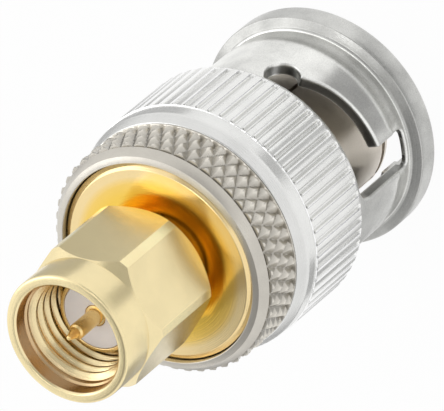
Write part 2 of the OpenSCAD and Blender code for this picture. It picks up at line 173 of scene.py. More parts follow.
def sector(azimuth, half_spread, r0, r1, steps=24):
    """Corners of a ring's part, from an inner radius to an outer one."""
    turns = [math.radians(azimuth + half_spread * (2 * k / steps - 1)) for k in range(steps + 1)]
    return ([(r1 * math.cos(a), r1 * math.sin(a)) for a in turns]
            + [(r0 * math.cos(a), r0 * math.sin(a)) for a in reversed(turns)])


def grey_card(name, corners, matrix, grey):
    """A card that only mirrors show."""
    tone = bpy.data.materials.new(name)
    wire = new_tree(tone)
    glow = wire.node("ShaderNodeEmission", {}, {0: (grey, grey, grey, 1)})
    wire.node("ShaderNodeOutputMaterial", {}, {0: glow})
    card = sheet(name, corners, matrix, tone)
    card.visible_camera = card.visible_shadow = card.visible_diffuse = False


def facing_adapter(direction, distance):
    """Place and turn of a lamp or card that looks at the adapter's middle."""
    away = Vector(direction).normalized()
    turn = away.to_track_quat("Z", "Y").to_matrix().to_4x4()
    return Matrix.Translation((Vector(CAMERA_AIM) + away * distance) * MM) @ turn


world = bpy.data.worlds.new("tent")
bpy.context.scene.world = world
wire = new_tree(world)
level = seen_directly(wire) * (1 - TENT_LIGHT) + TENT_LIGHT
cloth = wire.node("ShaderNodeBackground", {}, {0: (1, 1, 1, 1), 1: level})
wire.node("ShaderNodeOutputWorld", {}, {0: cloth})

white_table = bpy.data.materials.new("white_table")
wire = new_tree(white_table)
paint = wire.node("ShaderNodeBsdfDiffuse", {}, {0: (FLOOR_WHITE, FLOOR_WHITE, FLOOR_WHITE, 1)})
glow = wire.node("ShaderNodeEmission", {}, {0: (1, 1, 1, 1), 1: 1.0})
shown = wire.node("ShaderNodeMixShader", {}, {0: seen_directly(wire) * FLOOR_GLOW, 1: paint, 2: glow})
from_below = wire.node("ShaderNodeNewGeometry", {}, {}, "Backfacing")
clear = wire.node("ShaderNodeBsdfTransparent", {}, {})
shown = wire.node("ShaderNodeMixShader", {}, {0: from_below, 1: shown, 2: clear})
wire.node("ShaderNodeOutputMaterial", {}, {0: shown})
sheet("table", square(FLOOR_SIZE), Matrix.Identity(4), white_table)

for name, direction, distance, size, grey in STANDING_CARDS:
    grey_card(name, square(size), facing_adapter(direction, distance), grey)
for layer, (name, azimuth, half_spread, r0, r1, grey) in enumerate(LYING_CARDS, 1):
    raised = Matrix.Translation((0, 0, CARD_LIFT * layer * MM))
    grey_card(name, sector(azimuth, half_spread, r0, r1), raised, grey)

for name, direction, distance, size, strength in LAMPS:
    lamp_data = bpy.data.lights.new(name, "AREA")
    lamp_data.size = size * MM
    lamp_data.energy = strength * math.pi * (size * MM) ** 2
    lamp = bpy.data.objects.new(name, lamp_data)
    lamp.matrix_world = facing_adapter(direction, distance)
    bpy.context.scene.collection.objects.link(lamp)

bpy.context.scene.view_settings.view_transform = "Standard"


# --- Coupling sleeve: rim, mouth and slotted neck -----------------------------
# The bayonet sleeve is turned from brass and plated with bright nickel. Its neck
# is milled through with two cam slots for the mating studs, and the mouth has a
# groove for each stud to enter by.
RIM_R, RIM_LEN, RIM_ROUND = 7.2, 1.5, 0.25
WAIST_R, WAIST_END, WAIST_CUT = 6.5, 2.9, 0.17
NECK_R, NECK_WALL_IN, NECK_BEVEL = 6.6, 5.85, 0.15
NECK_START, NECK_END = 1.6, 8.9
SLEEVE_BORE, MOUTH_R, MOUTH_DEPTH = 4.9, 5.1, 0.6
CHANNEL_W, CHANNEL_ANGLE = 2.38, -38.2
GROOVE_R, GROOVE_CORNER, GROOVE_W, GROOVE_ANGLE = 6.15, 0.4, 3.1, -42
SLOT_Z, CHANNEL_TOP, GROOVE_TOP = 2.05, 7.39, 2.36
RAMP_Z, RAMP_CLIMB, RAMP_CURL = 4.67, 1.31, 0.52
HUMP_ANGLE, DETENT_ANGLE, DETENT_Z, DETENT_R = 25.0, 33.5, 6.45, 1.05
END_LEAN, END_LEN = 31.0, 0.7
SLOT_EDGE, SLOT_CORNER = 0.15, 0.3
MILLED_NICKEL = (0.84, 0.84, 0.81)


def polar(r, angle, z):
    """A point from its radius, its angle round the axis and its height."""
    return (r * math.cos(math.radians(angle)), r * math.sin(math.radians(angle)), z)


def arc(centre, r, start, end, steps):
    """Points along an arc, both ends included."""
    angles = [math.radians(start + (end - start) * i / steps) for i in range(steps + 1)]
    return [(centre[0] + r * math.cos(a), centre[1] + r * math.sin(a)) for a in angles]


def rounded(corners, steps=4):
    """A closed outline through corners (x, y, rounding), each rounded by an arc."""
    line = []
    for i, (x, y, rounding) in enumerate(corners):
        here = Vector((x, y))
        before = (Vector(corners[i - 1][:2]) - here).normalized()
        after = (Vector(corners[(i + 1) % len(corners)][:2]) - here).normalized()
        turn = before.angle(after)
        if rounding == 0 or turn > math.radians(179):
            line.append((x, y))
            continue
        reach = rounding / math.tan(turn / 2)
        middle = here + (before + after).normalized() * rounding / math.sin(turn / 2)
        start, end = here + before * reach - middle, here + after * reach - middle
        sweep = start.angle_signed(end)
        for k in range(steps + 1):
            a = -sweep * k / steps
            line.append((middle.x + start.x * math.cos(a) - start.y * math.sin(a),
                         middle.y + start.x * math.sin(a) + start.y * math.cos(a)))
    return line


def skin(rings):
    """Points and faces of a closed surface through closed rings, the last joined to the first."""
    n, m = len(rings), len(rings[0])
    faces = [(i * m + j, i * m + (j + 1) % m, (i + 1) % n * m + (j + 1) % m, (i + 1) % n * m + j)
             for i in range(n) for j in range(m)]
    return [p for ring in rings for p in ring], faces


def turned(section, columns=240):
    """A lathe solid from a closed section of (radius, height) points."""
    return skin([[polar(r, 360 * j / columns, z) for j in range(columns)] for r, z in section])


# Points of a mesh nearer than this, in metres, are merged.
MERGED = 2e-7


def piece_of(name, solids, sharp=38):
    """One object from solids given as points and faces: doubles merged, pinholes shut, normals outwards."""
    mesh = bpy.data.meshes.new(name)
    points, faces = [], []
    for solid_points, solid_faces in solids:
        faces += [tuple(i + len(points) for i in face) for face in solid_faces]
        points += [tuple(c * MM for c in p) for p in solid_points]
    mesh.from_pydata(points, [], faces)
    build = bmesh.new()
    build.from_mesh(mesh)
    bmesh.ops.remove_doubles(build, verts=build.verts, dist=MERGED)
    bmesh.ops.delete(build, geom=[edge for edge in build.edges if edge.is_wire], context="EDGES")
    bmesh.ops.holes_fill(build, edges=[edge for edge in build.edges if edge.is_boundary], sides=8)
    bmesh.ops.recalc_face_normals(build, faces=build.faces)
    build.to_mesh(mesh)
    build.free()
    mesh.shade_smooth()
    mesh.set_sharp_from_angle(angle=math.radians(sharp))
    made = bpy.data.objects.new(name, mesh)
    bpy.context.scene.collection.objects.link(made)
    return made


def place(made, material, body, node):
    """Gives a finished piece its material, its body and the solid that it stands in for."""
    made.data.materials.clear()
    made.data.materials.append(material)
    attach(made, body)
    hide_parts(node)


def new_finish(name):
    """An empty material, its tree, and the place on the piece in millimetres."""
    material = bpy.data.materials.new(name)
    wire = new_tree(material)
    place_mm = wire.node("ShaderNodeVectorMath", {"operation": "SCALE"},
                         {0: wire.node("ShaderNodeTexCoord", {}, {}, "Object"), "Scale": 1000.0})
    return material, wire, place_mm


def by_radius(wire, radius, steps):
    """A value that follows steps of (radius, value)."""
    value = steps[0][1]
    for (r0, value0), (r1, value1) in zip(steps, steps[1:]):
        change = wire.node("ShaderNodeMapRange", {}, {0: radius, 1: r0, 2: r1, 3: 0.0, 4: value1 - value0})
        value = change + value
    return value


# Noise cells in a millimetre, and the depth of the relief in metres.
CLOUD_SCALE, PIT_SCALE, RING_STRETCH, RING_SCALE = 0.45, 14.0, 9.0, 1.6
RELIEF_DEPTH = 0.00003


def plated(name, colour, roughness, mottle, grain, turning, painted_shading=(), painted_tint=None):
    """Plated metal: cloudy tone, fine pitting and the rings that the lathe tool left.

    Each band of painted shading is (lowest z, highest z, steps of radius and value) and scales
    the tone: painted highlights on high edges and painted shade in low places. The painted tint
    is (colour, the same three), the share of a deeper colour painted in as shade and as gold mirrored in
    gold.
    """
    material, wire, place_mm = new_finish(name)
    x, y, z = (wire.node("ShaderNodeSeparateXYZ", {}, {0: place_mm}, k) for k in range(3))
    radius = (x * x + y * y) ** 0.5
    across = wire.node("ShaderNodeCombineXYZ", {}, {0: radius * RING_STRETCH, 1: z * RING_STRETCH, 2: 0.0})
    rings = wire.node("ShaderNodeTexNoise", {}, {"Vector": across, "Scale": RING_SCALE, "Detail": 5.0})
    cloud = wire.node("ShaderNodeTexNoise", {}, {"Vector": place_mm, "Scale": CLOUD_SCALE, "Detail": 4.0})
    pits = wire.node("ShaderNodeTexNoise", {}, {"Vector": place_mm, "Scale": PIT_SCALE, "Detail": 3.0})
    tone = 1 - (cloud - 0.5) * mottle - (pits - 0.5) * (mottle * 0.6)

    def banded(lowest, highest, steps, plain):
        between = wire.maths("GREATER_THAN", z, lowest) * wire.maths("LESS_THAN", z, highest)
        return plain + (by_radius(wire, radius, steps) - plain) * between

    for band in painted_shading:
        tone = tone * banded(*band, 1)
    metal = colour
    if painted_tint:
        painted_colour, band = painted_tint
        metal = wire.node("ShaderNodeMix", {"data_type": "RGBA"},
                          {0: banded(*band, 0), 6: (*colour, 1), 7: (*painted_colour, 1)}, 2)
    base = wire.node("ShaderNodeVectorMath", {"operation": "SCALE"}, {0: metal, "Scale": tone})
    height = rings * turning + pits * grain
    bump = wire.node("ShaderNodeBump", {}, {"Height": height, "Distance": RELIEF_DEPTH, "Strength": 0.5})
    wet = roughness + (cloud - 0.5) * (roughness * 0.5) + (rings - 0.5) * (roughness * 0.35)
    shader = wire.node("ShaderNodeBsdfPrincipled", {},
                       {"Base Color": base, "Metallic": 1.0, "Roughness": wet, "Normal": bump})
    wire.node("ShaderNodeOutputMaterial", {}, {0: shader})
    return material


def along(angle):
    """Distance round the neck's outside at an angle."""
    return NECK_R * math.radians(angle)


def slot_outline(spacing=0.09, ramp_steps=40, smoothings=3):
    """Edge of one cam slot, unrolled to (distance round the neck, height), evenly spaced."""
    channel, ramp = along(CHANNEL_ANGLE), along(CHANNEL_ANGLE) + CHANNEL_W / 2
    hump, detent = along(HUMP_ANGLE), along(DETENT_ANGLE)
    line = rounded([(channel - CHANNEL_W / 2, SLOT_Z + 1, 0), (channel - CHANNEL_W / 2, SLOT_Z, SLOT_CORNER),
                    (ramp, SLOT_Z, SLOT_CORNER), (ramp, SLOT_Z + 1, 0)])
    for i in range(ramp_steps + 1):
        t = i / ramp_steps
        climb = RAMP_CLIMB * ((1 - RAMP_CURL) * t + RAMP_CURL * t ** 4)
        line.append((ramp + (hump - ramp) * t, RAMP_Z + climb))
    lean = math.radians(END_LEAN)
    upper = (detent - END_LEN * math.sin(lean), DETENT_Z + END_LEN * math.cos(lean))
    line += arc((detent, DETENT_Z), DETENT_R, 206, 360 + END_LEAN, 30)
    line += arc(upper, DETENT_R, END_LEAN, 95, 12)
    line += arc((channel, CHANNEL_TOP - CHANNEL_W / 2), CHANNEL_W / 2, 92, 180, 16)
    even, left = [], 0.0
    for (x0, y0), (x1, y1) in zip(line, line[1:] + line[:1]):
        length = math.hypot(x1 - x0, y1 - y0)
        while left < length:
            even.append((x0 + (x1 - x0) * left / length, y0 + (y1 - y0) * left / length))
            left += spacing
        left -= length
    for _ in range(smoothings):
        even = [((a[0] + 2 * b[0] + c[0]) / 4, (a[1] + 2 * b[1] + c[1]) / 4)
                for a, b, c in zip(even[-1:] + even[:-1], even, even[1:] + even[:1])]
    return even


def pushed_out(outline, distance):
    """A closed outline moved outwards by a distance."""
    moved = []
    for a, b, c in zip(outline[-1:] + outline[:-1], outline, outline[1:] + outline[:1]):
        dx, dy = c[0] - a[0], c[1] - a[1]
        length = math.hypot(dx, dy)
        moved.append((b[0] + dy / length * distance, b[1] - dx / length * distance))
    return moved


def inside(point, outline):
    """Whether a closed outline goes round a point."""
    hit = False
    for (x1, y1), (x2, y2) in zip(outline, outline[1:] + outline[:1]):
        if (y1 > point[1]) != (y2 > point[1]) and point[0] < (x2 - x1) * (point[1] - y1) / (y2 - y1) + x1:
            hit = not hit
    return hit


def neck_outside(z):
    """The neck's radius at a height, with the bevel that rises from the waist."""
    return WAIST_R + (NECK_R - WAIST_R) * min(max((z - WAIST_END) / NECK_BEVEL, 0), 1)


def groove(angle):
    """Radius that the stud grooves reach at an angle: parallel sides and a floor with round corners."""
    off = math.radians(min(abs((angle - GROOVE_ANGLE - turn + 180) % 360 - 180) for turn in (0, 180)))
    rest = GROOVE_CORNER - max(0, GROOVE_W / 2 - GROOVE_R * math.sin(off))
    corner = GROOVE_CORNER - math.sqrt(max(0, GROOVE_CORNER ** 2 - max(0, rest) ** 2))
    return min(GROOVE_R - corner, GROOVE_W / 2 / max(math.sin(off), 0.01)) if off < 1 else 0


def slotted_neck():
    """Both halves of the neck's wall, each with a rounded slot edge, as one closed solid.

    The outside of one half is spread flat as (distance round the neck, height), filled
    with triangles up to the slot's edge, and wrapped round the axis twice.
    """
    columns, before_channel, support_gap, grid_gap = 72, 55, 0.06, 0.16
    outline = slot_outline()
    edge, support = pushed_out(outline, SLOT_EDGE), pushed_out(outline, SLOT_EDGE + support_gap)
    rows = ([2.2] + [WAIST_END + NECK_BEVEL * k / 3 for k in range(4)]
            + [k / 2 for k in range(7, 17)] + [NECK_END - 0.5])
    first = CHANNEL_ANGLE - before_channel
    lows = [(along(first + 180 * i / columns), NECK_START) for i in range(columns + 1)]
    highs = [(s, NECK_END) for s, _ in lows]
    sides = [(s, z) for s in (lows[0][0], lows[-1][0]) for z in rows]
    keep_off = pushed_out(outline, SLOT_EDGE + grid_gap)
    grid = [(s, z) for z in rows for s, _ in lows[1:-1] if not inside((s, z), keep_off)]
    n = len(outline)
    points = edge + support + lows + highs + sides + grid
    loops = [(i, (i + 1) % n) for i in range(n)] + [(n + i, n + (i + 1) % n) for i in range(n)]
    made, _, triangles, origin, _, _ = delaunay_2d_cdt([Vector(p) for p in points], loops, [], 0, 1e-6)
    index = {old: new for new, olds in enumerate(origin) for old in olds}
    where = [tuple(p) for p in made]
    kept = [t for t in triangles if not inside([sum(where[i][k] for i in t) / 3 for k in (0, 1)], edge)]
    inner_of = dict(zip((index[i] for i in range(n)), outline))
    out_points, faces = [], []
    for half in (0, 180):
        base = len(out_points)
        m = len(where)
        for s, z in where:
            out_points.append(polar(neck_outside(z), math.degrees(s / NECK_R) + half, z))
        for i, (s, z) in enumerate(where):
            s, z = inner_of.get(i, (s, z))
            turn = math.degrees(s / NECK_R) + half
            out_points.append(polar(max(NECK_WALL_IN, groove(turn) if z < GROOVE_TOP else 0), turn, z))
        faces += [tuple(base + i for i in t) for t in kept]
        faces += [tuple(base + m + i for i in reversed(t)) for t in kept]
        for line in (range(2 * n, 2 * n + columns + 1), range(2 * n + columns + 1, 2 * n + 2 * columns + 2)):
            ends = [index[i] for i in line]
            faces += [(base + a, base + b, base + m + b, base + m + a) for a, b in zip(ends, ends[1:])]
        previous = [base + index[i] for i in range(n)]
        for k in (1, 2, 3):
            a = math.radians(30 * k)
            offset, drop = SLOT_EDGE * (1 - math.sin(a)), SLOT_EDGE * (1 - math.cos(a))
            ring = list(range(len(out_points), len(out_points) + n))
            out_points += [polar(neck_outside(z) - drop, math.degrees(s / NECK_R) + half, z)
                           for s, z in pushed_out(outline, offset)]
            faces += [(previous[i], previous[(i + 1) % n], ring[(i + 1) % n], ring[i]) for i in range(n)]
            previous = ring
        last = [base + m + index[i] for i in range(n)]
        faces += [(previous[i], previous[(i + 1) % n], last[(i + 1) % n], last[i]) for i in range(n)]
    return out_points, faces


def mouth_and_rim():
    """The rim, with the two stud grooves running along its bore, and more columns at the grooves' sides."""
    columns = 240
    side_turn = math.degrees(math.asin(GROOVE_W / 2 / GROOVE_R))
    near_side = [side_turn + off for off in (-3.8, -3.1, -2.4, -1.7, -1.1, -0.6, -0.25, 0,
                                             0.5, 1.1, 1.8, 2.5, 3.1, 3.5, 3.9)]
    angles = sorted([360 * i / columns for i in range(columns)]
                    + [(GROOVE_ANGLE + turn + side * off) % 360
                       for turn in (0, 180) for side in (-1, 1) for off in near_side])
    section = rounded([(RIM_R, 0, RIM_ROUND), (RIM_R, RIM_LEN, 0.1), (WAIST_R + 0.15, RIM_LEN + 0.21, 0.15),
                       (WAIST_R - 0.02, RIM_LEN + 0.36, 0), (WAIST_R - WAIST_CUT, RIM_LEN + 0.38, 0),
                       (WAIST_R - WAIST_CUT, SLOT_Z - 0.02, 0), (NECK_WALL_IN + 0.2, SLOT_Z - 0.02, 0),
                       (SLEEVE_BORE, SLOT_Z, 0.06), (SLEEVE_BORE, MOUTH_DEPTH, 0.03),
                       (MOUTH_R, MOUTH_DEPTH, 0.03), (MOUTH_R, 0, 0.1)])
    return skin([[polar(max(r, groove(a)) if r < GROOVE_R else r, a, z) for a in angles]
                 for r, z in section])


# The slots' milled walls have painted shade, and the rim's shoulder and outer wall are painted darker to
# damp the bright reflection in them.
SLOT_WALL_SHADE = (SLOT_Z, NECK_END - 0.05, [(5.87, 1.0), (5.95, 0.42), (6.36, 0.42), (6.44, 1.0)])
RIM_SHADE = (0.1, RIM_LEN + 0.3, [(6.5, 0.7), (6.7, 0.5), (7.1, 0.5), (7.18, 0.68)])
milled_nickel = plated("milled_nickel_plate", MILLED_NICKEL, roughness=0.31, mottle=0.9, grain=0.25,
                       turning=0.5, painted_shading=[SLOT_WALL_SHADE, RIM_SHADE])
neck = piece_of("sleeve_neck_and_rim", [slotted_neck(), mouth_and_rim()])
place(neck, milled_nickel, "sleeve", "coupling_sleeve")


# --- Coupling sleeve: fluted grip ---------------------------------------------
# The thick rear half of the sleeve is gripped by hand. Sixty straight flutes are
# rolled round it, and behind them a plain band ends in a rounded lip.
FLUTES, FLUTE_DEPTH, FLUTE_PHASE, GRIP_R = 60, 0.28, -1.4, 7.58
FLUTE_START, FLUTE_RISE, FLUTE_RUN_OUT = 8.74, 0.3, 0.16
# The flute's depth across half of its pitch, both as shares.
FLUTE_PROFILE = [(0, 0), (0.19, 0), (0.22, 0.03), (0.25, 0.1), (0.28, 0.22),
                 (0.35, 0.7), (0.4, 0.92), (0.44, 0.99), (0.5, 1)]
GRIP_Z, SHOULDER_R, SHOULDER_LEN = 8.43, 7.25, 0.57
BAND_Z, BAND_R, BAND_LEN, TAIL_R = 13.86, 7.5, 0.8, 7.15
LIP_BORE, LIP_Z, RELIEF_END = 4.28, 12.28, 8.66
SLEEVE_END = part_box("coupling_sleeve")[1].z / MM
# Copies whose points are nearer than this, in metres, are welded together.
WELD = 2e-6
FLUTED_NICKEL = (0.93, 0.93, 0.91)
# The flutes' edges have a painted highlight and their valleys painted shade, deepest at the valleys' ends by
# the band, and the band has painted shade too, deeper down its rounded tail.
FLUTE_HIGHLIGHT_AND_SHADE = (GRIP_Z + 0.1, BAND_Z + 0.03,
              [(7.31, 0.92), (7.38, 0.84), (7.5, 1.1), (7.56, 1.2), (7.578, 0.94)])
FLUTE_END_SHADE = (BAND_Z - 0.28, BAND_Z, [(7.47, 0.4), (7.55, 1.0)])
BAND_SHADE = (BAND_Z + 0.03, BAND_Z + 2, [(7.4, 0.8), (7.5, 0.9)])


def geometry_tree(name, labels, result):
    """A node tree with named inputs: its input sockets, and functions that add a node and end the tree."""
    tree = bpy.data.node_groups.new(name, "GeometryNodeTree")
    for label, kind in labels:
        tree.interface.new_socket(label, in_out="INPUT", socket_type="NodeSocket" + kind)
    tree.interface.new_socket(result, in_out="OUTPUT", socket_type="NodeSocketGeometry")
    given = tree.nodes.new("NodeGroupInput").outputs

    def add(kind, values, **settings):
        """A node with its inputs set or linked; the answer is its first output."""
        node = tree.nodes.new(kind if kind.startswith("Shader") else "GeometryNode" + kind)
        for key, value in settings.items():
            setattr(node, key, value)
        for key, value in values.items():
            for one in value if isinstance(value, list) else [value]:
                if isinstance(one, bpy.types.NodeSocket):
                    tree.links.new(one, node.inputs[key])
                else:
                    node.inputs[key].default_value = one
        return node.outputs[0]

    def end(shape):
        finished = add("SetMaterial", {"Geometry": shape, "Material": given["Finish"]})
        tree.links.new(finished, tree.nodes.new("NodeGroupOutput").inputs[0])
        return tree

    return given, add, end


def ring_of_copies():
    """Node tree: copies of a wedge turned about the axis and welded into one ring."""
    given, add, end = geometry_tree("ring_of_copies", [
        ("Wedge", "Geometry"), ("Count", "Int"), ("Weld", "Float"), ("Finish", "Material")], "Ring")
    step = add("ShaderNodeMath", {0: math.tau, 1: given["Count"]}, operation="DIVIDE")
    angle = add("ShaderNodeMath", {0: add("InputIndex", {}), 1: step}, operation="MULTIPLY")
    turn = add("ShaderNodeCombineXYZ", {"Z": angle})
    points = add("Points", {"Count": given["Count"]})
    copies = add("InstanceOnPoints", {"Points": points, "Instance": given["Wedge"], "Rotation": turn})
    real = add("RealizeInstances", {"Geometry": copies})
    return end(add("MergeByDistance", {"Geometry": real, "Distance": given["Weld"]}))


def apply_tree(made, tree, values, sharp=38):
    """Runs a node tree on an object, with its inputs set by identifier, and keeps the plain mesh."""
    modifier = made.modifiers.new(tree.name, "NODES")
    modifier.node_group = tree
    for item in tree.interface.items_tree:
        if item.in_out == "INPUT" and item.name in values:
            modifier[item.identifier] = values[item.name]
    graph = bpy.context.evaluated_depsgraph_get()
    plain = bpy.data.meshes.new_from_object(made.evaluated_get(graph))
    made.modifiers.clear()
    made.data = plain
    plain.shade_smooth()
    plain.set_sharp_from_angle(angle=math.radians(sharp))


def wedge(name, section, count, shares, reach, phase=0.0):
    """One of count equal wedges of a ring, its radius changed by reach(share, r, z)."""
    span = 360 / count
    rows = [[polar(reach(u, r, z), phase + span * u, z) for u in shares] for r, z in section]
    n, m = len(rows), len(shares)
    faces = [(i * m + j, i * m + j + 1, (i + 1) % n * m + j + 1, (i + 1) % n * m + j)
             for i in range(n) for j in range(m - 1)]
    return piece_of(name, [([p for row in rows for p in row], faces)])


def flute_reach(u, r, z):
    """Each flute breaks out through the shoulder in front and ends in a short steep ramp at the band."""
    if not FLUTE_START < z < BAND_Z or r < SHOULDER_R:
        return r
    bite = next(b0 + (b1 - b0) * (abs(u) - u0) / (u1 - u0) for (u0, b0), (u1, b1)
                in zip(FLUTE_PROFILE, FLUTE_PROFILE[1:]) if abs(u) <= u1 + 1e-6)
    open_share = min(1, (z - FLUTE_START) / FLUTE_RISE, (BAND_Z - z) / FLUTE_RUN_OUT)
    return min(r, GRIP_R - FLUTE_DEPTH * bite * open_share)


shoulder = [(SHOULDER_R + (GRIP_R - SHOULDER_R) * k / 10, GRIP_Z + SHOULDER_LEN * k / 10)
            for k in range(1, 10)]
section = rounded([(6.1, GRIP_Z, 0), (SHOULDER_R, GRIP_Z, 0.04), shoulder[0] + (0,)])[:-1] + shoulder
section += [(GRIP_R, GRIP_Z + SHOULDER_LEN + on) for on in (0, 0.03, 0.08, 0.3, 1, 2, 3, 4, 4.5)]
section += [(GRIP_R, BAND_Z - left) for left in (0.2, 0.16, 0.12, 0.08, 0.04, 0.01)]
section += rounded([(GRIP_R - 0.01, BAND_Z, 0), (BAND_R, BAND_Z + 0.04, 0), (BAND_R, BAND_Z + BAND_LEN, 0.5),
                    (TAIL_R, SLEEVE_END, 0.15), (LIP_BORE, SLEEVE_END, 0.05), (LIP_BORE, LIP_Z, 0),
                    (SLEEVE_BORE, LIP_Z, 0), (SLEEVE_BORE, RELIEF_END, 0),
                    (NECK_WALL_IN, RELIEF_END - 0.4, 0)], 6)
shares = [-u for u, _ in reversed(FLUTE_PROFILE[1:])] + [u for u, _ in FLUTE_PROFILE]
fluted_nickel = plated("fluted_nickel_plate", FLUTED_NICKEL, roughness=0.26, mottle=0.2, grain=0.3,
                       turning=0.2, painted_shading=[FLUTE_HIGHLIGHT_AND_SHADE, FLUTE_END_SHADE, BAND_SHADE])
copies_tree = ring_of_copies()
grip = wedge("sleeve_grip", section, FLUTES, shares, flute_reach, FLUTE_PHASE)
apply_tree(grip, copies_tree, {"Count": FLUTES, "Weld": WELD, "Finish": fluted_nickel})
place(grip, fluted_nickel, "sleeve", "coupling_sleeve")


# --- Spring stack -------------------------------------------------------------
# Two flat steel washers with a wave washer between them, shut inside the sleeve.
# They push the sleeve back against the collar.
WASHER_IN_R, WASHER_OUT_R = 4.28, 4.82
WAVE_Z, WAVE_HEIGHT, WAVES, STRIP_T = 10.42, 1.5, 3, 0.2
STEEL = (0.55, 0.55, 0.56)


def dress(node, material):
    """Gives a solid of the frame, shown as it is, its material."""
    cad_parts[node].data.materials.clear()
    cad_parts[node].data.materials.append(material)


spring_steel = plated("spring_steel", STEEL, roughness=0.35, mottle=0.15, grain=0.2, turning=0.6)
for node in ("thrust_washer", "flat_washer", "sma_retaining_ring"):
    dress(node, spring_steel)


def wave_strip(columns=144):
    """The wave washer: a flat strip bent up and down round the contact."""
    lift = WAVE_HEIGHT - STRIP_T
    strip = [(WASHER_IN_R, 0), (WASHER_OUT_R, 0), (WASHER_OUT_R, STRIP_T), (WASHER_IN_R, STRIP_T)]
    rings = []
    for k in range(columns):
        angle = 360 * k / columns
        z = WAVE_Z + lift * (1 - math.cos(math.radians(WAVES * angle))) / 2
        rings.append([polar(r, angle, z + rise) for r, rise in strip])
    return skin(rings)


wave_spring = piece_of("wave_spring", [wave_strip()])
place(wave_spring, spring_steel, "adapter", "wave_washer")
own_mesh(wave_spring)


# --- Bayonet plug: body, outer contact and insulator --------------------------
# The body is a nickel-plated brass hub. The outer contact is slit into three
# springy fingers that grip the mating barrel, and holds a white fluoropolymer tube.
CONTACT_R, CONTACT_BORE, LIP_FRONT, LIP_LEN, LIP_DROP = 4.2, 3.45, 0.15, 0.35, 0.12
LIP_GROOVE_Z, LIP_GROOVE_W, LIP_GROOVE = 0.66, 0.25, 0.14
FINGERS, SLIT_W, SLIT_END, SLIT_ANGLE = 3, 0.25, 7.26, 38.6
HUB_FRONT, SPIGOT_R, CONTACT_END = 9.06, 3.83, 11.06
# The weld of copies that don't touch and of a ridge's ends, in metres: only doubles are joined.
SAME_POINT = 1e-7
BRIGHT_NICKEL = (0.74, 0.74, 0.71)
DULL_NICKEL = (0.74, 0.68, 0.60)
WHITE_TUBE = (0.95, 0.92, 0.91)
GREY_RUBBER = (0.08, 0.08, 0.085)
# Noise cells in a millimetre of a moulded surface, and the depth of its grain in metres.
MOULD_CLOUD_SCALE, MOULD_GRAIN_SCALE, MOULD_GRAIN_DEPTH = 1.3, 22.0, 0.00002


def moulded(name, colour, roughness, mottle):
    """Plastic or rubber: a soft uneven tone and a faint grain."""
    material, wire, place_mm = new_finish(name)
    cloud = wire.node("ShaderNodeTexNoise", {},
                      {"Vector": place_mm, "Scale": MOULD_CLOUD_SCALE, "Detail": 4.0})
    grain = wire.node("ShaderNodeTexNoise", {},
                      {"Vector": place_mm, "Scale": MOULD_GRAIN_SCALE, "Detail": 2.0})
    tone = 1 - (cloud - 0.5) * mottle
    base = wire.node("ShaderNodeVectorMath", {"operation": "SCALE"}, {0: colour, "Scale": tone})
    bump = wire.node("ShaderNodeBump", {}, {"Height": grain, "Distance": MOULD_GRAIN_DEPTH, "Strength": 0.3})
    shader = wire.node("ShaderNodeBsdfPrincipled", {},
                       {"Base Color": base, "Roughness": roughness + (cloud - 0.5) * 0.1, "Normal": bump})
    wire.node("ShaderNodeOutputMaterial", {}, {0: shader})
    return material


bright_nickel = plated("bright_nickel_plate", BRIGHT_NICKEL, roughness=0.24, mottle=0.1, grain=0.25,
                       turning=0.5)
dull_nickel = plated("dull_nickel_plate", DULL_NICKEL, roughness=0.34, mottle=0.25, grain=0.4, turning=0.7)
white_tube = moulded("white_fluoropolymer", WHITE_TUBE, roughness=0.45, mottle=0.08)
grey_rubber = moulded("grey_silicone_rubber", GREY_RUBBER, roughness=0.55, mottle=0.2)
dress("bnc_body", bright_nickel)


def finger(columns=60):
    """One finger of the contact between two slits, with a rounded lip in front and a groove behind it."""
    groove_r, groove_end = CONTACT_R - LIP_GROOVE, LIP_GROOVE_Z + LIP_GROOVE_W
    section = rounded([(CONTACT_BORE, SLIT_END, 0), (CONTACT_BORE, LIP_FRONT, 0.1),
                       (CONTACT_R - LIP_DROP, LIP_FRONT, 0.2), (CONTACT_R, LIP_FRONT + LIP_LEN, 0.2),
                       (CONTACT_R, LIP_GROOVE_Z, 0.03), (groove_r, LIP_GROOVE_Z, 0.03),
                       (groove_r, groove_end, 0.03), (CONTACT_R, groove_end, 0.05),
                       (CONTACT_R, SLIT_END, 0)], 6)
    slit = [math.degrees(math.asin(SLIT_W / 2 / r)) for r, _ in section]
    rings = [[polar(r, SLIT_ANGLE + a + (360 / FINGERS - 2 * a) * k / columns, z)
              for (r, z), a in zip(section, slit)] for k in range(columns + 1)]
    n, m = len(rings), len(section)
    faces = [(i * m + j, i * m + (j + 1) % m, (i + 1) * m + (j + 1) % m, (i + 1) * m + j)
             for i in range(n - 1) for j in range(m)]
    return [p for ring in rings for p in ring], faces + [tuple(range(m)), tuple(range((n - 1) * m, n * m))]


contact_fingers = piece_of("bnc_contact_fingers", [finger()])
apply_tree(contact_fingers, copies_tree, {"Count": FINGERS, "Weld": SAME_POINT, "Finish": dull_nickel})
place(contact_fingers, dull_nickel, "adapter", "bnc_outer_contact")
contact_rear = piece_of("bnc_contact_rear", [turned(rounded(
    [(CONTACT_BORE, SLIT_END, 0), (CONTACT_R, SLIT_END, 0), (CONTACT_R, HUB_FRONT, 0.03),
     (SPIGOT_R, HUB_FRONT, 0), (SPIGOT_R, CONTACT_END, 0.05), (CONTACT_BORE, CONTACT_END, 0.03)]))])
place(contact_rear, dull_nickel, "adapter", "bnc_outer_contact")
dress("bnc_insulator", white_tube)
dress("bnc_gasket", grey_rubber)
dress("sma_gasket", grey_rubber)


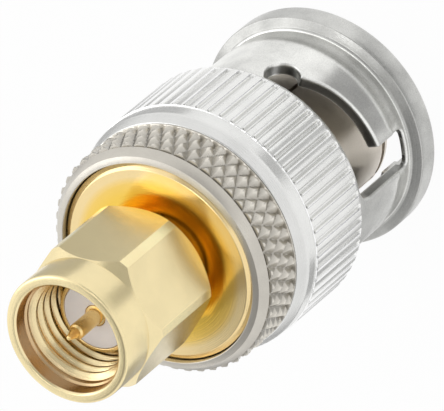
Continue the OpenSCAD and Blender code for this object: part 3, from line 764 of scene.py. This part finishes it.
# --- Knurled collar -----------------------------------------------------------
# A nickel-plated ring pressed over the hub. A diamond knurl is rolled round it,
# and a conical lip behind the knurl closes over the gold flange.
COLLAR_Z, COLLAR_END, COLLAR_SEAT = 15.44, 18.68, 17.18
KNURL_Z, KNURL_R, KNURL_DEPTH = COLLAR_Z + 0.1, 7.18, 0.3
KNURL_COUNT, KNURL_ROWS, KNURL_PITCH = 50, 3, 0.8
# The diamonds' tops are worn flat, and the knurl is shallower for a short way at both edges.
KNURL_FLAT, KNURL_EDGE, KNURL_EDGE_PEAK = 1.3, 0.12, 0.7
# Edges sharper than this angle stay sharp.
KNURL_SHARP = 30
CONE_Z, CONE_R, FACE_R, RECESS_R, COLLAR_BORE = 18.0, 7.0, 6.6, 6.15, 4.22
# The knurl's diamond tops have a painted highlight, and its furrows painted shade.
KNURL_HIGHLIGHT_AND_SHADE = (KNURL_Z - 0.05, CONE_Z - 0.04, [(6.88, 0.8), (6.98, 0.9), (7.1, 1.05), (7.17, 1.3)])
WARM_NICKEL = (0.61, 0.58, 0.52)


def knurl_reach(u, r, z):
    """Diamonds between two sets of crossing furrows."""
    v = (z - KNURL_Z) / (2 * KNURL_PITCH)
    if not 0 <= v <= KNURL_ROWS / 2 or r < KNURL_R - KNURL_DEPTH:
        return r
    heights = [1 - 2 * abs(k - round(k)) for k in (u + v, u - v)]
    from_edge = min(v, KNURL_ROWS / 2 - v) * 2 * KNURL_PITCH / KNURL_EDGE
    peak = min(1.0, KNURL_FLAT * min(heights), KNURL_EDGE_PEAK + (1 - KNURL_EDGE_PEAK) * from_edge)
    return KNURL_R - KNURL_DEPTH + KNURL_DEPTH * peak


root = KNURL_R - KNURL_DEPTH
lip_r, undercut_r, knurl_end = KNURL_R - 0.04, root - 0.03, KNURL_Z + KNURL_ROWS * KNURL_PITCH
section = [(COLLAR_BORE, COLLAR_Z), (lip_r, COLLAR_Z), (lip_r, KNURL_Z - 0.03)]
section += [(root + 0.001, KNURL_Z + KNURL_PITCH * k / 8) for k in range(8 * KNURL_ROWS + 1)]
section += rounded([(undercut_r, knurl_end + 0.02, 0), (undercut_r, CONE_Z - 0.01, 0),
                    (CONE_R, CONE_Z, 0.05), (FACE_R, COLLAR_END - 0.1, 0.05),
                    (RECESS_R + 0.05, COLLAR_END, 0.05), (RECESS_R, COLLAR_SEAT, 0),
                    (COLLAR_BORE, COLLAR_SEAT, 0)])
warm_nickel = plated("warm_nickel_plate", WARM_NICKEL, roughness=0.3, mottle=0.36, grain=0.4, turning=0.5,
                     painted_shading=[KNURL_HIGHLIGHT_AND_SHADE])
collar = wedge("knurled_collar_ring", section, KNURL_COUNT, [k / 12 for k in range(13)], knurl_reach)
apply_tree(collar, copies_tree, {"Count": KNURL_COUNT, "Weld": WELD, "Finish": warm_nickel}, KNURL_SHARP)
place(collar, warm_nickel, "adapter", "knurled_collar")


# --- SMA body -----------------------------------------------------------------
# A gold-plated brass turning: a polished flange seated in the collar, a stem that
# carries the nut, and the thin ferrule that is the outer contact.
FLANGE_R, FLANGE_TOP, FLANGE_BEVEL, TENON_Z, TENON_R = 6.12, 18.55, 0.35, 14.68, 3.43
STEM_R, STEM_END, FERRULE_R, FERRULE_BORE, FACE_Z = 2.7, 22.39, 2.295, 2.05, 25.19
RING_Z0, RING_Z1, RING_GROOVE_R = 20.66, 21.42, 2.35
GOLD, REFLECTED_NUT_GOLD = (0.91, 0.71, 0.37), (0.92, 0.60, 0.08)
# The flange round the stem has a painted reflection of the gold nut and painted shade under it, as a deeper
# orange gold.
FLANGE_REFLECTION = (REFLECTED_NUT_GOLD, (18.0, 18.7, [(4.3, 0.9), (4.9, 0.7), (5.35, 0.0)]))
bright_gold = plated("polished_gold_plate", GOLD, roughness=0.17, mottle=0.06, grain=0.1, turning=0.35,
                     painted_tint=FLANGE_REFLECTION)
sma_turning = piece_of("gold_flange_and_ferrule", [turned(rounded(
    [(FERRULE_BORE, TENON_Z, 0), (TENON_R, TENON_Z, 0.05), (TENON_R, COLLAR_SEAT, 0),
     (FLANGE_R, COLLAR_SEAT, 0.05), (FLANGE_R, FLANGE_TOP - FLANGE_BEVEL * 0.7, 0.06),
     (FLANGE_R - FLANGE_BEVEL, FLANGE_TOP, 0.08), (STEM_R, FLANGE_TOP, 0.1), (STEM_R, RING_Z0, 0.02),
     (RING_GROOVE_R, RING_Z0, 0.02), (RING_GROOVE_R, RING_Z1, 0.02), (STEM_R, RING_Z1, 0.02),
     (STEM_R, STEM_END, 0.08), (FERRULE_R, STEM_END, 0.03), (FERRULE_R, FACE_Z, 0.06),
     (FERRULE_BORE, FACE_Z, 0.04)]))])
place(sma_turning, bright_gold, "adapter", "sma_body")


# --- SMA insulator and centre contacts ----------------------------------------
# The insulator is a white fluoropolymer rod, flush with the ferrule. The gold-plated
# pin stands on a slightly wider conductor, and the bayonet pin plugs onto its tail.
PIN_R, PIN_LEN, PIN_STEP, PIN_TIP_LEN, PIN_TIP_R = 0.465, 1.95, 0.12, 0.85, 0.12
CONDUCTOR_R, CAPTIVE_R, CAPTIVE_T = 0.635, 1.2, 0.5
TAIL_PIN_R, TAIL_PIN_LEN = 0.48, 2.4
PRESS_GAP = 0.02
PIN_GOLD = (0.96, 0.72, 0.32)
pin_gold = plated("pin_gold_plate", PIN_GOLD, roughness=0.28, mottle=0.1, grain=0.2, turning=0.4)
rod_in_r, rod_out_r, rod_end = CONDUCTOR_R + PRESS_GAP, FERRULE_BORE - PRESS_GAP, FACE_Z - 0.01
insulator = piece_of("sma_insulator_rod", [turned(rounded(
    [(rod_in_r, TENON_Z, 0), (rod_out_r, TENON_Z, 0), (rod_out_r, rod_end, 0.05),
     (rod_in_r, rod_end, 0.03)]))])
place(insulator, white_tube, "adapter", "sma_insulator")
tail_z, captive_end, step_z = TENON_Z - TAIL_PIN_LEN, TENON_Z + CAPTIVE_T, FACE_Z + PIN_LEN
tip_z = step_z + PIN_TIP_LEN
pin = piece_of("sma_pin", [turned(rounded(
    [(0, tail_z, 0), (TAIL_PIN_R, tail_z, 0.05), (TAIL_PIN_R, TENON_Z, 0), (CAPTIVE_R, TENON_Z, 0.03),
     (CAPTIVE_R, captive_end, 0.03), (CONDUCTOR_R, captive_end, 0), (CONDUCTOR_R, FACE_Z, 0.04),
     (PIN_R, FACE_Z, 0.02), (PIN_R, step_z, 0.08), (PIN_R - PIN_STEP, step_z + PIN_STEP, 0.03),
     (PIN_TIP_R, tip_z, 0.08), (0, tip_z, 0)]), 96)])
place(pin, pin_gold, "adapter", "sma_center_contact")
dress("bnc_center_contact", pin_gold)


# --- SMA coupling nut ---------------------------------------------------------
# The nut is turned from hexagon bar and plated with pale satin gold. Its corners are
# turned down and chamfered, and the bore has a fine right-hand thread.
NUT_Z, NUT_END, NUT_FLAT, NUT_CORNER, HEX_ANGLE = 19.64, 28.19, 3.975, 4.44, 15.0
REAR_BEVEL, NOSE_Z, NOSE_R, NOSE_ROUND, CHAMFER_SLOPE = 0.5, 25.89, 3.95, 0.2, 1.2
NUT_SHARP = 18
NUT_BORE, RING_HOUSE_R, RING_HOUSE_Z1 = 2.78, 3.2, 21.33
RELIEF_R, RELIEF_Z, COUNTERBORE_R, COUNTERBORE_Z = 3.25, 22.16, 3.3, 27.3
THREAD_ROOT, THREAD_DEPTH, THREAD_PITCH, THREAD_Z0, THREAD_Z1 = 3.17, 0.35, 0.7056, 23.49, 27.1
THREAD_ROOT_W, THREAD_CREST_W, THREAD_CREST_ROUND, THREAD_RUN_OUT = 0.72, 0.18, 0.04, 0.08
# The thread's ridge is sunk into the wall by this much.
THREAD_SUNK = 0.06
PALE_GOLD, BORE_SHADE_GOLD = (0.91, 0.77, 0.45), (0.60, 0.40, 0.22)
# The strips between the flats have a painted highlight, and the bore has a painted browner shade, as shade
# and as gold mirrored in gold.
LAND_HIGHLIGHT = (NUT_Z + 0.4, NOSE_Z - 0.4, [(4.42, 1.0), (4.437, 1.13)])
BORE_SHADE = (BORE_SHADE_GOLD, (NUT_Z, NUT_END - 0.1,
                         [(2.9, 0.1), (3.1, 0.4), (3.2, 0.8), (3.32, 0.9), (3.42, 0.0)]))


def nut_reach(angle):
    """The radius of the turned-down hexagon bar at an angle."""
    off = math.radians((angle - HEX_ANGLE + 30) % 60 - 30)
    return min(NUT_CORNER, NUT_FLAT / math.cos(math.radians(30) - abs(off)))


# Half of the turned strip at a corner, as an angle, then the columns from a corner to a flat's middle.
land = 30 - math.degrees(math.acos(NUT_FLAT / NUT_CORNER))
off_corner = [land * k / 3 for k in (1, 2, 3)] + [land + (30 - land) * k / 14 for k in range(1, 14)]
angles = [HEX_ANGLE + 60 * k + off for k in range(6)
          for off in [-off for off in reversed(off_corner)] + [0] + off_corner + [30]]
rear_edge = NUT_CORNER - REAR_BEVEL
rings = [[polar(rear_edge, a, NUT_Z) for a in angles],
         [polar(nut_reach(a), a, NUT_Z + nut_reach(a) - rear_edge) for a in angles],
         [polar(nut_reach(a), a, NOSE_Z - (nut_reach(a) - NOSE_R) * CHAMFER_SLOPE) for a in angles],
         [polar(NOSE_R, a, NOSE_Z) for a in angles]]
nose = rounded([(NOSE_R, NOSE_Z + 1, 0), (NOSE_R, NUT_END, NOSE_ROUND),
                (COUNTERBORE_R + 0.12, NUT_END, 0.06), (COUNTERBORE_R, NUT_END - 0.12, 0.06),
                (COUNTERBORE_R, COUNTERBORE_Z, 0.04), (THREAD_ROOT, COUNTERBORE_Z - 0.1, 0.02),
                (THREAD_ROOT, THREAD_Z0 - 0.2, 0), (RELIEF_R, THREAD_Z0 - 0.25, 0),
                (RELIEF_R, RELIEF_Z, 0.05), (NUT_BORE, RELIEF_Z, 0.04), (NUT_BORE, RING_HOUSE_Z1, 0),
                (RING_HOUSE_R, RING_HOUSE_Z1, 0), (RING_HOUSE_R, RING_Z0, 0), (NUT_BORE, RING_Z0, 0),
                (NUT_BORE, NUT_Z + 0.1, 0), (NUT_BORE + 0.1, NUT_Z, 0)])
rings += [[polar(r, a, z) for a in angles] for r, z in nose]


def swept_thread():
    """Node tree: a ridge swept up a right-hand helix in the bore, fading into the wall at both ends."""
    given, add, end = geometry_tree("swept_thread", [
        ("Nut", "Geometry"), ("Turns", "Float"), ("Rise", "Float"), ("Start Height", "Float"),
        ("Root Radius", "Float"), ("Root Width", "Float"), ("Crest Width", "Float"), ("Depth", "Float"),
        ("Crest Round", "Float"), ("Run Out", "Float"), ("Finish", "Material")], "Threaded")
    helix = add("CurveSpiral", {"Resolution": 96, "Rotations": given["Turns"], "Height": given["Rise"],
                                "Start Radius": given["Root Radius"], "End Radius": given["Root Radius"]})
    helix = add("SetCurveNormal", {"Curve": helix}, mode="Z_UP")
    ridge = add("CurvePrimitiveQuadrilateral", {
        "Bottom Width": given["Root Width"], "Top Width": given["Crest Width"],
        "Height": given["Depth"], "Offset": 0.0}, mode="TRAPEZOID")
    ridge = add("FilletCurve", {"Curve": ridge, "Count": 2, "Radius": given["Crest Round"]}, mode="POLY")
    inward = add("ShaderNodeMath", {0: given["Depth"], 1: 0.5}, operation="MULTIPLY")
    ridge = add("Transform", {"Geometry": ridge, "Rotation": (0, 0, -math.pi / 2),
                              "Translation": add("ShaderNodeCombineXYZ", {"X": inward})})
    passed = add("SplineParameter", {})
    left = add("ShaderNodeMath", {0: 1.0, 1: passed}, operation="SUBTRACT")
    nearer = add("ShaderNodeMath", {0: passed, 1: left}, operation="MINIMUM")
    fade = add("ShaderNodeMath", {0: nearer, 1: given["Run Out"]}, operation="DIVIDE", use_clamp=True)
    thread = add("CurveToMesh", {"Curve": helix, "Profile Curve": ridge, "Scale": fade, "Fill Caps": True})
    thread = add("MergeByDistance", {"Geometry": thread, "Distance": SAME_POINT})
    raised = add("ShaderNodeCombineXYZ", {"Z": given["Start Height"]})
    thread = add("Transform", {"Geometry": thread, "Translation": raised})
    both = add("JoinGeometry", {"Geometry": [thread, given["Nut"]]})
    return end(add("RealizeInstances", {"Geometry": both}))


pale_gold = plated("pale_gold_plate", PALE_GOLD, roughness=0.22, mottle=0.16, grain=0.3, turning=0.5,
                   painted_shading=[LAND_HIGHLIGHT], painted_tint=BORE_SHADE)
nut = piece_of("sma_nut", [skin(rings)], NUT_SHARP)
thread_len = THREAD_Z1 - THREAD_Z0
apply_tree(nut, swept_thread(), {
    "Turns": thread_len / THREAD_PITCH, "Rise": thread_len * MM, "Start Height": THREAD_Z0 * MM,
    "Root Radius": (THREAD_ROOT + THREAD_SUNK) * MM, "Depth": (THREAD_DEPTH + THREAD_SUNK) * MM,
    "Root Width": THREAD_ROOT_W * MM, "Crest Width": THREAD_CREST_W * MM,
    "Crest Round": THREAD_CREST_ROUND * MM, "Run Out": THREAD_RUN_OUT, "Finish": pale_gold}, NUT_SHARP)
place(nut, pale_gold, "nut", "sma_coupling_nut")
